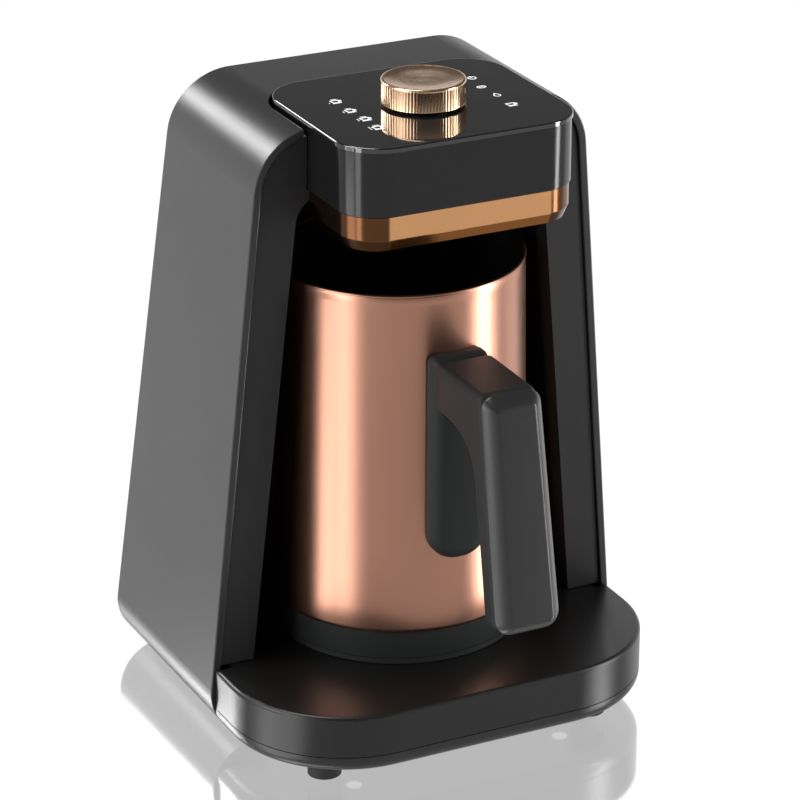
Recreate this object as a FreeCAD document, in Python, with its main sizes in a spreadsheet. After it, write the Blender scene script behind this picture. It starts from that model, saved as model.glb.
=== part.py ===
import FreeCAD, Part
import Sketcher
import math
import os

# Electric coffee maker with a removable jug, drawn in millimetres.
# X runs to the user's right, the front faces -Y and Z points up from the floor.
# The origin is the middle of the overall box on the floor.

doc = FreeCAD.newDocument("coffee_maker")
sheet = doc.addObject("Spreadsheet::Sheet", "sizes")

SIZES = [
    # outer shell
    ("shell_wall", 3.0), ("shell_half_low", 85.6), ("side_lean", 0.0916), ("shell_top", 237.2),
    ("shell_low", 2.0), ("top_round", 24.3), ("low_round", 18.5), ("shell_front", -2.0),
    ("back_low", 92.0), ("back_lean", 0.103), ("front_lean", 0.033), ("fit_gap", 0.3), ("cover_wall", 2.5),
    # front frame with the niche for the jug
    ("bezel_recess", 1.2), ("bezel_depth", 9.0), ("bezel_slant", 9.5), ("slant_depth", 7.6),
    ("niche_inset", 19.6), ("niche_half_low", "=shell_half_low - niche_inset"), ("niche_lean", 0.0975),
    ("niche_round", 11.0), ("niche_depth", 27.8), ("niche_back", "=back_low - niche_depth"),
    ("niche_bend", 150.0), ("niche_forward", 6.6), ("niche_back_top", "=niche_back - niche_forward"),
    ("liner_wall", 2.0), ("liner_lap", 0.5),
    # base
    ("base_inset", 3.6), ("base_half", "=shell_half_low - base_inset"), ("base_front", -62.0),
    ("base_round", 45.6), ("tray_top", 31.5), ("parting", 15.5), ("base_low", 8.5), ("base_wall", 2.6),
    ("base_edge", 1.6), ("base_low_round", 5.5), ("floor_gap_inset", 20.0),
    ("floor_gap_half", "=base_half - floor_gap_inset"), ("tongue_inset", 6.0),
    ("tongue_half", "=base_half - tongue_inset"), ("tongue_low_half", "=tongue_half - tongue_inset"),
    ("tongue_short", 7.4), ("tongue_back", "=back_low - tongue_short"), ("tongue_round", 8.0),
    ("boss_radius", 4.0), ("boss_inset", 12.0), ("foot_radius", 6.2), ("foot_inset", 27.2),
    ("foot_x", "=base_half - foot_inset"), ("foot_setback", 24.1),
    ("foot_front", "=base_front + foot_setback"),
    ("foot_rear_inset", 16.6), ("foot_back", "=tongue_back - foot_rear_inset"),
    # head
    ("head_clear", 21.1), ("head_half", "=niche_half_low - head_clear"), ("head_front", -45.6),
    ("head_back", 34.0), ("head_round", 15.0), ("head_wall", 2.4),
    ("panel_thick", 1.8), ("panel_proud", 1.9), ("panel_top", "=shell_top + panel_proud"),
    ("head_tall", 23.7), ("head_low", "=panel_top - panel_thick - head_tall"), ("niche_drop", 2.6),
    ("niche_top", "=head_low - niche_drop"), ("panel_over", 0.6), ("panel_half", "=head_half + panel_over"),
    ("panel_lip", 1.4), ("panel_front", "=head_front - panel_lip"), ("panel_back", "=head_back + fit_gap"),
    ("panel_round", 17.0), ("panel_soft", 0.6), ("slot_gap", 1.3),
    ("strip_inset", 0.6), ("strip_tall", 11.8), ("strip_bevel_in", 3.2), ("strip_bevel_up", 3.4),
    ("strip_wall", 4.2), ("floor_thick", 2.2), ("floor_raise", 3.6), ("floor_play", 0.02),
    ("sensor_radius", 6.0), ("sensor_tall", 6.0), ("sensor_y", -22.0), ("sensor_proud", 0.6),
    # controls in the head
    ("board_drop", 8.5), ("board_top", "=panel_top - panel_thick - board_drop"), ("board_thick", 1.6),
    ("board_play", 4.9), ("board_half", "=head_half - board_play"), ("board_setback", 5.6),
    ("board_front", "=head_front + board_setback"), ("board_short", 6.0),
    ("board_back", "=head_back - board_short"), ("board_round", 9.0),
    ("spring_radius", 2.2), ("spring_x", 27.5), ("spring_front", -25.5), ("spring_step", 11.0),
    ("lamp_radius", 1.2), ("lamp_tall", 2.6), ("lamp_x", 33.5),
    ("beeper_radius", 6.0), ("beeper_tall", 5.5), ("beeper_y", 18.0),
    ("pillar_radius", 3.0), ("pillar_inset", 6.0), ("pillar_front", 8.0), ("pillar_back", 7.0),
    ("encoder_side", 12.4), ("encoder_tall", 7.2), ("cavity_radius", 5.2), ("cavity_floor", 1.2),
    ("cavity_tall", 4.8), ("cavity_step", 1.0), ("bush_radius", 3.5), ("bush_proud", 1.8),
    ("bush_top", "=panel_top + bush_proud"), ("shaft_radius", 3.0), ("shaft_play", 0.05),
    ("nut_across", 9.0), ("nut_tall", 1.6), ("plunger_radius", 4.6), ("plunger_raise", 1.2),
    ("plunger_low", "=board_top + cavity_floor + plunger_raise"), ("plunger_tall", 1.4),
    ("knob_radius", 15.2), ("knob_y", -7.6), ("knob_raise", 1.1), ("knob_low", "=panel_top + knob_raise"),
    ("knob_tall", 8.3), ("knob_top", "=knob_low + knob_tall"), ("knob_wall", 2.4), ("knob_edge", 0.6),
    ("knob_crown", 2.2), ("hub_radius", 5.6), ("hub_raise", 1.7), ("hub_low", "=knob_low + hub_raise"),
    # jug
    ("jug_clear", 17.3), ("jug_low_radius", "=niche_half_low - jug_clear"), ("jug_play", 1.8),
    ("jug_y", "=niche_back - jug_play - jug_low_radius"),
    ("jug_raise", 13.2), ("jug_low", "=tray_top + jug_raise"), ("jug_rim", 176.9), ("jug_taper", 1.8),
    ("jug_rim_radius", "=jug_low_radius - jug_taper"), ("jug_wall", 1.2), ("jug_foot_round", 2.4),
    ("spout_tall", 24.9), ("spout_low", "=jug_rim - spout_tall"), ("spout_tip", 0.4), ("spout_radius", 8.0),
    ("spout_over", 6.0), ("spout_tilt", 8.0), ("spout_inset", 7.5),
    ("spout_reach", "=jug_rim_radius - spout_inset"),
    ("collar_inset", 2.1), ("collar_radius", "=jug_low_radius - collar_inset"), ("collar_wall", 3.0),
    ("collar_foot", 2.0), ("plate_inset", 3.6),
    ("plate_radius", "=collar_radius - collar_wall - plate_inset"),
    ("plate_thick", 2.6), ("coil_inset", 11.0), ("coil_radius", "=plate_radius - coil_inset"),
    ("coil_wire", 3.1), ("coil_angle", 300.0), ("coil_start_angle", 120.0),
    ("stat_radius", 8.0), ("stat_tall", 6.0), ("socket_inset", 1.0),
    ("socket_half", 13.0), ("socket_depth", 10.0), ("socket_tall", 8.0), ("pin_radius", 2.2), ("pin_x", 6.0),
    ("pin_reach", 8.0), ("plug_half", 15.0), ("plug_deep", 13.0),
    # handle
    ("mount_half", 11.7), ("mount_low", 73.5), ("mount_high", 154.5), ("mount_stand", 6.2),
    ("mount_front", "=jug_y - jug_low_radius - mount_stand"), ("mount_deep", 14.0), ("mount_play", 0.02),
    ("mount_round", 9.0), ("grip_top_half", 11.0), ("grip_low_half", 12.5), ("grip_high", 156.0),
    ("grip_low", 69.0), ("grip_reach", 34.8), ("grip_front_high", "=mount_front - grip_reach"),
    ("grip_out", 16.0), ("grip_front_low", "=grip_front_high - grip_out"), ("cover_depth", 6.0),
    ("cover_lip", 0.4), ("grip_depth", 16.0), ("bridge_low", 137.0), ("bridge_reach", 18.8),
    ("bridge_front", "=mount_front - bridge_reach"), ("grip_round", 5.0), ("grip_bend", 8.0),
    # parts behind the niche
    ("power_gap", 3.8), ("power_front", "=niche_back + power_gap"), ("power_thick", 1.6),
    ("power_half", 44.0), ("power_low", 46.0), ("power_high", 128.0),
    ("post_radius", 2.5), ("post_x", 36.0), ("post_low", 54.0), ("post_high", 120.0),
    ("part_inset", 6.0), ("part_rise", 4.0),
    ("coil_pack_w", 28.0), ("coil_pack_d", 9.0), ("coil_pack_h", 24.0),
    ("relay_x", 2.0), ("relay_w", 17.0), ("relay_d", 6.5), ("relay_h", 14.0),
    ("can_x", 32.0), ("can_radius", 4.5), ("can_long", 14.0),
    ("terminal_w", 22.0), ("terminal_d", 8.0), ("terminal_h", 11.0), ("terminal_x", -27.0),
    ("terminal_inset", 13.0), ("gland_radius", 7.0), ("gland_bore", 3.6), ("gland_x", -47.0),
    ("gland_z", 46.0), ("gland_long", 10.5), ("gland_depth", 11.0), ("flange_over", 2.0),
    ("flange_thick", 2.0), ("flange_depth", 7.5),
    ("vent_half", 26.0), ("vent_slit", 2.2), ("vent_step", 6.0), ("vent_low", 160.0), ("vent_rows", 7.0),
    # screws
    ("screw_radius", 1.5), ("screw_head", 2.9), ("screw_head_tall", 1.6), ("screw_long", 9.0),
    ("screw_sunk", 1.0), ("recess_gap", 0.1), ("rear_inset", 6.0), ("rear_screw_low", 60.0),
    ("rear_screw_high", 140.0),
    # how far a cutting tool runs past what it cuts
    ("past", 20.0), ("far", 400.0), ("hair", 0.01),
]
for row, (alias, number) in enumerate(SIZES, 1):
    sheet.set(f"A{row}", alias.replace("_", " "))
    sheet.set(f"B{row}", str(number))
    sheet.setAlias(f"B{row}", alias)
doc.recompute()

V = {alias: float(sheet.get(alias)) for alias, number in SIZES}
NEAR = 1.0
parts = {}


def link(words):
    """Turn a sum of size names into an expression on the sheet."""
    text = ""
    word = ""
    for letter in str(words) + " ":
        if letter.isalnum() or letter == "_" or letter == ".":
            word += letter
            continue
        text += ("sizes." + word if word in V else word) + letter
        word = ""
    return text.strip()


def bind(thing, prop, words):
    thing.setExpression(prop, link(words))


def keep(label, thing):
    """Name a finished sub-part, which is written to its own file."""
    thing.Label = label
    parts[label] = thing
    return thing


# Part primitives and booleans whose sizes come from the sheet

def place(thing, at, axis=None, turn=0.0):
    if axis:
        thing.Placement = FreeCAD.Placement(FreeCAD.Vector(), FreeCAD.Rotation(FreeCAD.Vector(*axis), turn))
    for letter, words in zip("xyz", at):
        bind(thing, f".Placement.Base.{letter}", words)
    return thing


def block(name, low, size):
    thing = doc.addObject("Part::Box", name)
    for prop, words in zip(("Length", "Width", "Height"), size):
        bind(thing, prop, words)
    return place(thing, low)


def rod(name, radius, tall, at, axis=None, turn=0.0):
    thing = doc.addObject("Part::Cylinder", name)
    bind(thing, "Radius", radius)
    bind(thing, "Height", tall)
    return place(thing, at, axis, turn)


def rod_y(name, radius, long, at):
    """A rod from its start towards +Y."""
    return rod(name, radius, long, at, (1, 0, 0), -90.0)


def cut(name, base, tool):
    thing = doc.addObject("Part::Cut", name)
    thing.Base = base
    thing.Tool = tool
    return thing


def fuse(name, *pieces):
    thing = doc.addObject("Part::MultiFuse", name)
    thing.Shapes = list(pieces)
    return thing


def common(name, *pieces):
    thing = doc.addObject("Part::MultiCommon", name)
    thing.Shapes = list(pieces)
    return thing


def group(name, *pieces):
    thing = doc.addObject("Part::Compound", name)
    thing.Links = list(pieces)
    return thing


# PartDesign bodies drawn from closed outlines

def body(name):
    return doc.addObject("PartDesign::Body", name)


def outline(owner, plane, corners, offset="0"):
    """A closed outline whose corners are held by the sheet, on one of the body's own planes."""
    sketch = owner.newObject("Sketcher::SketchObject", owner.Name + "_outline")
    for feature in owner.Origin.OriginFeatures:
        if feature.Role == plane:
            sketch.AttachmentSupport = [(feature, "")]
    sketch.MapMode = "FlatFace"
    bind(sketch, ".AttachmentOffset.Base.z", offset)
    count = len(corners)
    spots = [FreeCAD.Vector(math.cos(2 * math.pi * i / count), math.sin(2 * math.pi * i / count), 0)
             for i in range(count)]
    for i in range(count):
        sketch.addGeometry(Part.LineSegment(spots[i], spots[(i + 1) % count]), False)
    for i in range(count):
        sketch.addConstraint(Sketcher.Constraint("Coincident", i, 2, (i + 1) % count, 1))
    for i, (across, up) in enumerate(corners):
        for kind, words in (("DistanceX", across), ("DistanceY", up)):
            index = sketch.addConstraint(Sketcher.Constraint(kind, -1, 1, i, 1, 1.0))
            sketch.setExpression(f"Constraints[{index}]", link(words))
    return sketch


def feature(owner, kind, sketch, length, reverse=False, both=False):
    thing = owner.newObject("PartDesign::" + kind, owner.Name + "_" + kind.lower())
    thing.Profile = sketch
    bind(thing, "Length", length)
    thing.Reversed = reverse
    thing.Midplane = both
    doc.recompute()
    return thing


def turned(owner, corners):
    """A solid of revolution about the body's own Z axis."""
    sketch = outline(owner, "XZ_Plane", corners)
    thing = owner.newObject("PartDesign::Revolution", owner.Name + "_turn")
    thing.Profile = sketch
    thing.ReferenceAxis = (sketch, ["V_Axis"])
    thing.Angle = 360.0
    doc.recompute()
    return thing


def edges_where(base, test):
    return [f"Edge{i}" for i, edge in enumerate(base.Shape.Edges, 1) if test(edge)]


def soften(owner, radius, test, kind="Fillet"):
    """Round the chosen edges of the body's last feature."""
    base = owner.Tip
    names = edges_where(base, test)
    thing = owner.newObject("PartDesign::" + kind, owner.Name + "_soft")
    thing.Base = (base, names)
    bind(thing, "Radius" if kind == "Fillet" else "Size", radius)
    doc.recompute()
    return thing


def middle(edge):
    return edge.BoundBox.Center


def runs_along(axis):
    """A test for straight edges along one axis."""
    def test(edge):
        if edge.Curve.TypeId != "Part::GeomLine":
            return False
        return abs(edge.tangentAt(edge.FirstParameter)[axis]) > 0.999
    return test


def at_height(z, slack=0.01):
    """A test for edges that lie flat at one height."""
    return lambda edge: edge.BoundBox.ZLength < slack and abs(middle(edge).z - z) < slack


along_y = runs_along(1)
along_z = runs_along(2)


def trapezoid(half, lean, low, high, less="0"):
    """Corners of an upright outline that narrows with height."""
    wide = f"({half} - {lean} * ({low}) - ({less}))"
    slim = f"({half} - {lean} * ({high}) - ({less}))"
    return [(f"-{wide}", low), (wide, low), (slim, high), (f"-{slim}", high)]


def prism_y(name, corners, start, length):
    """A body that runs from start towards +Y."""
    owner = body(name)
    feature(owner, "Pad", outline(owner, "XZ_Plane", corners, f"-({start})"), length, reverse=True)
    return owner


def prism_x(name, corners, width):
    """A body drawn from the side, as wide to the left as to the right."""
    owner = body(name)
    feature(owner, "Pad", outline(owner, "YZ_Plane", corners), width, both=True)
    return owner


def slab(name, half, front, back, low, tall, radius=None, front_only=False):
    """A flat plate seen from above, with rounded upright corners."""
    owner = body(name)
    corners = [(f"-({half})", front), (half, front), (half, back), (f"-({half})", back)]
    feature(owner, "Pad", outline(owner, "XY_Plane", corners, low), tall)
    if radius:
        middle_y = (owner.Shape.BoundBox.YMin + owner.Shape.BoundBox.YMax) / 2
        soften(owner, radius, lambda e: along_z(e) and (not front_only or middle(e).y < middle_y))
    return owner


BACK_AT = "(back_low - back_lean * ({}))"
BEZEL_Y = "(shell_front + bezel_recess)"


FRONT_AT = "(shell_front - front_lean * ({} - tray_top))"
LEAN_LOW = "(-past)"
LEAN_HIGH = "(shell_top + 2 * past)"


def behind(name, less):
    """The space behind the leaning back, moved forward by less."""
    corners = [(BACK_AT.format(LEAN_LOW) + f" - ({less})", LEAN_LOW), ("shell_front + far", LEAN_LOW),
               ("shell_front + far", LEAN_HIGH), (BACK_AT.format(LEAN_HIGH) + f" - ({less})", LEAN_HIGH)]
    return prism_x(name, corners, "far")


def ahead(name, more):
    """The space in front of the shell's front edge, which leans forward, moved back by more."""
    corners = [(FRONT_AT.format(LEAN_LOW) + f" + {more}", LEAN_LOW), ("shell_front - far", LEAN_LOW),
               ("shell_front - far", LEAN_HIGH), (FRONT_AT.format(LEAN_HIGH) + f" + {more}", LEAN_HIGH)]
    return prism_x(name, corners, "far")


def lean_forward(thing):
    """Tip a piece of the front frame about the tray's top edge, as far as the shell's front leans."""
    turn = FreeCAD.Rotation(FreeCAD.Vector(1, 0, 0), 1.0)
    thing.Placement = FreeCAD.Placement(FreeCAD.Vector(), turn)
    bind(thing, ".Placement.Rotation.Angle", "atan(front_lean)")
    slide = f"({BEZEL_Y} * (1 - cos(atan(front_lean))) + tray_top * sin(atan(front_lean)))"
    drop = f"(tray_top * (1 - cos(atan(front_lean))) - {BEZEL_Y} * sin(atan(front_lean)))"
    bind(thing, ".Placement.Base.y", slide)
    bind(thing, ".Placement.Base.z", drop)
    return thing


# Outer shell: a sleeve with leaning sides, large top corners and ends that curl under the base

SHELL_LONG = "(back_low - shell_front + past)"


def shell_outer(name, less, start, length):
    less = f"({less})"
    owner = prism_y(name, trapezoid("shell_half_low", "side_lean", f"shell_low + {less}",
                                    f"shell_top - {less}", less), start, length)
    mid_z = V["shell_top"] / 2
    soften(owner, f"top_round - ({less})", lambda e: along_y(e) and middle(e).z > mid_z)
    soften(owner, f"low_round - ({less})", lambda e: along_y(e) and middle(e).z < mid_z)
    return owner


sleeve = shell_outer("sleeve", "0", "shell_front - past", SHELL_LONG + " + past")
sleeve_inside = shell_outer("sleeve_inside", "shell_wall", "shell_front - past", SHELL_LONG + " + 2 * past")
floor_gap = block("floor_gap", ("-floor_gap_half", "shell_front - past", "-past"),
                  ("2 * floor_gap_half", SHELL_LONG + " + 2 * past", "past + shell_low + 2 * shell_wall"))
head_slot = slab("head_slot", "panel_half + slot_gap", "shell_front - 2 * past", "panel_back + slot_gap",
                 "shell_top - top_round", "top_round + past", "panel_round + slot_gap")
back_space = behind("back_space", "0")
front_space = ahead("front_space", "0")
sleeve_tools = fuse("sleeve_tools", sleeve_inside, floor_gap, head_slot, back_space, front_space)
keep("outer_shell", cut("shell_cut", sleeve, sleeve_tools))

# Rear cover: a plate that leans with the back, with cooling slits and a hole for the gland

cover_blank = shell_outer("cover_blank", "shell_wall + fit_gap", "shell_front + past", SHELL_LONG)
cover_front = behind("cover_front", "cover_wall + fit_gap")
cover_back = behind("cover_back", "fit_gap")
cover_sheet = common("cover_sheet", cover_blank, cover_front)
slits = [block(f"slit_{i}", ("-vent_half", "back_low - 3 * past", f"vent_low + {i} * vent_step"),
               ("2 * vent_half", "3 * past", "vent_slit")) for i in range(int(V["vent_rows"]))]
gland_hole = rod_y("gland_hole", "gland_radius", "3 * past", ("gland_x", "back_low - 2 * past", "gland_z"))


def rear_x(tall):
    return f"(niche_half_low - niche_lean * ({tall} - tray_top) - rear_inset)"


def cover_y(tall, depth):
    """The Y of a point as deep as depth in front of the rear cover's outer face."""
    return BACK_AT.format(tall) + f" - fit_gap - ({depth})"


rear_spots = [(f"{side} * {rear_x(tall)}", tall)
              for tall in ("rear_screw_low", "rear_screw_high") for side in (-1, 1)]
rear_screws = [fuse(f"rear_screw_{i}",
                    rod_y(f"rear_shank_{i}", "screw_radius", "screw_long",
                          (x, cover_y(tall, "screw_long + screw_sunk"), tall)),
                    rod_y(f"rear_screw_head_{i}", "screw_head", "screw_head_tall",
                          (x, cover_y(tall, "screw_head_tall"), tall)))
               for i, (x, tall) in enumerate(rear_spots)]
keep("rear_screws", group("rear_screw_group", *rear_screws))
rear_recesses = [rod_y(f"rear_recess_{i}", "screw_head + recess_gap", "past",
                       (x, cover_y(tall, "screw_head_tall"), tall))
                 for i, (x, tall) in enumerate(rear_spots)]
cover_tools = fuse("cover_tools", cover_back, gland_hole, *slits, *rear_recesses)
cover_open = cut("cover_open", cover_sheet, cover_tools)
keep("rear_cover", cut("rear_cover_cut", cover_open, parts["rear_screws"]))

# Gland: a stepped sleeve in the rear cover, flush with the back apart from its lip

GLAND_Y = "back_low - back_lean * gland_z"
gland_tube = rod_y("gland_tube", "gland_radius - recess_gap", "gland_long",
                   ("gland_x", GLAND_Y + " - gland_depth", "gland_z"))
gland_flange = rod_y("gland_flange", "gland_radius + flange_over", "flange_thick",
                     ("gland_x", GLAND_Y + " - flange_depth", "gland_z"))
gland_way = rod_y("gland_way", "gland_bore", "4 * past", ("gland_x", GLAND_Y + " - 2 * past", "gland_z"))
keep("cord_gland", cut("gland_cut", fuse("gland_blank", gland_tube, gland_flange), gland_way))

# Front frame: slanted bezel round the niche and a liner behind it

FRAME_LOW = "(tray_top + fit_gap)"
NICHE = ("niche_half_low + niche_lean * tray_top", "niche_lean")
frame_less = "(shell_wall + fit_gap)"
bezel = prism_y("bezel", trapezoid("shell_half_low", "side_lean", FRAME_LOW, f"shell_top - {frame_less}",
                                   frame_less), BEZEL_Y, "bezel_depth")
soften(bezel, "top_round - shell_wall - fit_gap", lambda e: along_y(e) and middle(e).z > V["niche_bend"])
mouth = outline(bezel, "XZ_Plane", trapezoid(*NICHE, "tray_top - past", "niche_top"),
                f"-({BEZEL_Y} - past)")
feature(bezel, "Pocket", mouth, "bezel_depth + 2 * past")
soften(bezel, "niche_round", lambda e: along_y(e) and abs(middle(e).z - V["niche_top"]) < NEAR
       and abs(middle(e).x) < V["niche_half_low"])

# The bezel slants inward: a flared mouth is cut from its front edge down to the niche
flare = body("flare")
flare_back = outline(flare, "XZ_Plane", trapezoid(*NICHE, "tray_top - past", "niche_top"),
                     f"-({BEZEL_Y} + slant_depth)")
flare_front = outline(flare, "XZ_Plane",
                      trapezoid(*NICHE, "tray_top - past", "niche_top + bezel_slant", "-bezel_slant"),
                      f"-({BEZEL_Y} - hair)")
flare_loft = flare.newObject("PartDesign::AdditiveLoft", "flare_loft")
flare_loft.Profile = flare_back
flare_loft.Sections = [flare_front]
flare_loft.Ruled = True
doc.recompute()
soften(flare, "niche_round", lambda e: e.BoundBox.YLength > NEAR and middle(e).z > V["niche_bend"]
       and e.BoundBox.XLength < V["niche_half_low"] / 2)


def niche_side(less):
    """The niche seen from the side: its back is upright, then leans forward above the jug."""
    start = "shell_front - 3 * past"
    low = "tray_top - past"
    return [(start, low), (f"niche_back + ({less})", low),
            (f"niche_back + ({less})", "niche_bend"), (f"niche_back_top + ({less})", f"niche_top + ({less})"),
            (start, f"niche_top + ({less})")]


def niche_space(name, less):
    corners = trapezoid(*NICHE, "tray_top - past", f"niche_top + ({less})", f"-({less})")
    front = prism_y(name + "_front", corners,
                    "shell_front - 3 * past", "niche_back - shell_front + 5 * past")
    soften(front, f"niche_round + ({less})",
           lambda e: along_y(e) and middle(e).z > V["niche_bend"])
    side = prism_x(name + "_side", niche_side(less), "far")
    return common(name, front, side)


niche = niche_space("niche", "0")
liner_outside = niche_space("liner_outside", "liner_wall")
LINER_AT = FRONT_AT + " + bezel_recess + bezel_depth - liner_lap"
liner_clip = prism_x("liner_clip", [(LINER_AT.format(FRAME_LOW), FRAME_LOW), ("shell_front + far", FRAME_LOW),
                                    ("shell_front + far", LEAN_HIGH), (LINER_AT.format(LEAN_HIGH), LEAN_HIGH)],
                     "far")
liner_blank = common("liner_blank", liner_outside, liner_clip)
liner = cut("liner", liner_blank, niche)
post_spots = [(side, tall) for tall in ("post_low", "post_high") for side in (-1, 1)]
posts = [rod_y(f"post_{i}", "post_radius", "power_front - niche_back - liner_wall / 2",
               (f"{side} * post_x", "niche_back + liner_wall / 2", tall))
         for i, (side, tall) in enumerate(post_spots)]
plug_hole = block("plug_hole", ("-plug_half", "niche_back - past", "0"),
                  ("2 * plug_half", "liner_wall + 2 * past", "jug_low"))
head_way = slab("head_way", "head_half + fit_gap", "shell_front - 2 * past", "head_back + fit_gap",
                "head_low - fit_gap", "3 * past", "head_round")
BOSS_START = "niche_back + liner_wall / 2"
BOSS_SHORT = "cover_wall + fit_gap + back_lean * boss_radius"
rear_bosses = [rod_y(f"rear_boss_{i}", "boss_radius", cover_y(tall, BOSS_SHORT) + f" - ({BOSS_START})",
                     (x, BOSS_START, tall)) for i, (x, tall) in enumerate(rear_spots)]
bezel_flared = cut("bezel_flared", bezel, flare)
bezel_open = cut("bezel_open", lean_forward(bezel_flared), head_way)
liner_open = cut("liner_open", liner, plug_hole)
frame_blank = fuse("frame_blank", bezel_open, liner_open, *posts, *rear_bosses)
keep("front_frame", cut("front_frame_cut", frame_blank, parts["rear_screws"]))

# Base: a tray on top of a pan, both with a tongue that reaches back inside the shell

BASE_BACK = "(shell_front - fit_gap)"


def base_plan(name, less, low, tall, tongue):
    wide = slab(name + "_wide", f"base_half - ({less})", f"base_front + ({less})", f"{BASE_BACK} - ({less})",
                low, tall, f"base_round - ({less})", front_only=True)
    rear = slab(name + "_rear", f"{tongue} - ({less})", "base_front + base_round + base_wall",
                f"tongue_back - ({less})", low, tall, f"tongue_round - ({less})")
    return wide, rear


tray_wide, tray_rear = base_plan("tray", "0", "parting", "tray_top - parting", "tongue_half")
soften(tray_wide, "base_edge", at_height(V["tray_top"]))
tray_in_wide, tray_in_rear = base_plan("tray_in", "base_wall", "parting - past",
                                       "tray_top - parting - base_wall + past", "tongue_half")
tray_hollow = fuse("tray_hollow", tray_in_wide, tray_in_rear)

pan_wide, pan_rear = base_plan("pan", "0", "base_low", "parting - fit_gap - base_low", "tongue_low_half")
soften(pan_wide, "base_low_round", at_height(V["base_low"]))
pan_in_wide, pan_in_rear = base_plan("pan_in", "base_wall", "base_low + base_wall", "parting",
                                     "tongue_low_half")
pan_hollow = fuse("pan_hollow", pan_in_wide, pan_in_rear)

foot_spots = [(side, spot) for spot in ("foot_front", "foot_back") for side in (-1, 1)]
feet = []
for i, (side, spot) in enumerate(foot_spots):
    foot = rod(f"foot_{i}", "foot_radius", "base_low", (f"{side} * foot_x", spot, "0"))
    feet.append(foot)
    keep(("front" if spot == "foot_front" else "rear") + ("_left" if side < 0 else "_right") + "_foot", foot)

boss_spots = [(f"{side} * (foot_x - boss_inset)", spot) for side, spot in foot_spots]
base_screws = [fuse(f"base_screw_{i}",
                    rod(f"base_shank_{i}", "screw_radius", "screw_long",
                        (x, y, "base_low + 0.5 * screw_head_tall")),
                    rod(f"base_screw_head_{i}", "screw_head", "screw_head_tall", (x, y, "base_low")))
               for i, (x, y) in enumerate(boss_spots)]
keep("base_screws", group("base_screw_group", *base_screws))
bosses = [rod(f"boss_{i}", "boss_radius", "tray_top - base_low - 1.5 * base_wall - fit_gap",
              (x, y, "base_low + base_wall + fit_gap")) for i, (x, y) in enumerate(boss_spots)]
tray_shell = cut("tray_shell", fuse("tray_blank", tray_wide, tray_rear), tray_hollow)
keep("base_tray", cut("base_tray_cut", fuse("tray_with_bosses", tray_shell, *bosses), parts["base_screws"]))
pan_shell = cut("pan_shell", fuse("pan_blank", pan_wide, pan_rear), pan_hollow)
keep("base_bottom", cut("base_bottom_cut", pan_shell, parts["base_screws"]))

# Head: housing, copper strip under it, floor, and the glossy panel on top

head_out = slab("head_out", "head_half", "head_front", "head_back", "head_low", "head_tall", "head_round")
head_in = slab("head_in", "head_half - head_wall", "head_front + head_wall", "head_back - head_wall",
               "head_low - past", "head_tall + 2 * past", "head_round - head_wall")
keep("head_housing", cut("head_housing_cut", head_out, head_in))

STRIP_LOW = "(head_low - strip_tall)"
strip_out = slab("strip_out", "head_half - strip_inset", "head_front + strip_inset", "head_back", STRIP_LOW,
                 "strip_tall", "head_round - strip_inset")
strip_bevel_base = strip_out.Tip
bevel = strip_out.newObject("PartDesign::Chamfer", "strip_bevel")
bevel.Base = (strip_bevel_base, edges_where(strip_bevel_base, at_height(V["head_low"] - V["strip_tall"])))
bevel.ChamferType = "Two distances"
bind(bevel, "Size", "strip_bevel_in")
bind(bevel, "Size2", "strip_bevel_up")
doc.recompute()
strip_in = slab("strip_in", "head_half - strip_inset - strip_wall", "head_front + strip_inset + strip_wall",
                "head_back", "head_low - 2 * past", "4 * past", "head_round - strip_inset - strip_wall")
HEAD_BACK_AT = f"({FRONT_AT.format('head_low')} + bezel_recess - fit_gap)"
strip_clip = block("strip_clip", ("-far / 2", HEAD_BACK_AT, "0"), ("far", "far", "far"))
keep("trim_strip", cut("trim_strip_cut", strip_out, fuse("strip_tools", strip_in, strip_clip)))

FLOOR_IN = "strip_inset + strip_wall + floor_play"
floor_sheet = slab("floor_sheet", f"head_half - ({FLOOR_IN})", f"head_front + {FLOOR_IN}",
                   HEAD_BACK_AT, f"{STRIP_LOW} + floor_raise", "floor_thick",
                   "head_round - strip_inset - strip_wall", front_only=True)
sensor_hole = rod("sensor_hole", "sensor_radius", "4 * past", ("0", "sensor_y", "head_low - 2 * past"))
keep("head_floor", cut("head_floor_cut", floor_sheet, sensor_hole))
keep("steam_sensor", rod("sensor", "sensor_radius - shaft_play", "sensor_tall",
                         ("0", "sensor_y", f"{STRIP_LOW} + floor_raise - sensor_proud")))

panel = slab("panel", "panel_half", "panel_front", "panel_back", "panel_top - panel_thick", "panel_thick",
             "panel_round")
soften(panel, "panel_soft", at_height(V["panel_top"]))
panel_hole = rod("panel_hole", "bush_radius + shaft_play", "2 * past", ("0", "knob_y", "panel_top - past"))
keep("touch_panel", cut("touch_panel_cut", panel, panel_hole))

# Electronics under the panel

BOARD_LOW = "(board_top - board_thick)"
board = slab("board", "board_half", "board_front", "board_back", BOARD_LOW, "board_thick", "board_round")
keep("control_board", board)
PANEL_LOW = "(panel_top - panel_thick)"
springs = [rod(f"spring_{side}_{i}", "spring_radius", f"{PANEL_LOW} - board_top",
               (f"{side} * spring_x", f"spring_front + {i} * spring_step", "board_top"))
           for side in (-1, 1) for i in range(4)]
keep("touch_springs", group("touch_spring_group", *springs))
lamps = [rod(f"lamp_{side}_{i}", "lamp_radius", "lamp_tall",
             (f"{side} * lamp_x", f"spring_front + {i} * spring_step", "board_top"))
         for side in (-1, 1) for i in range(4)]
keep("indicator_lamps", group("lamp_group", *lamps))
keep("beeper", rod("beeper_can", "beeper_radius", "beeper_tall", ("0", "beeper_y", "board_top")))
PILLAR_LOW = f"({STRIP_LOW} + floor_raise + floor_thick)"
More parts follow.
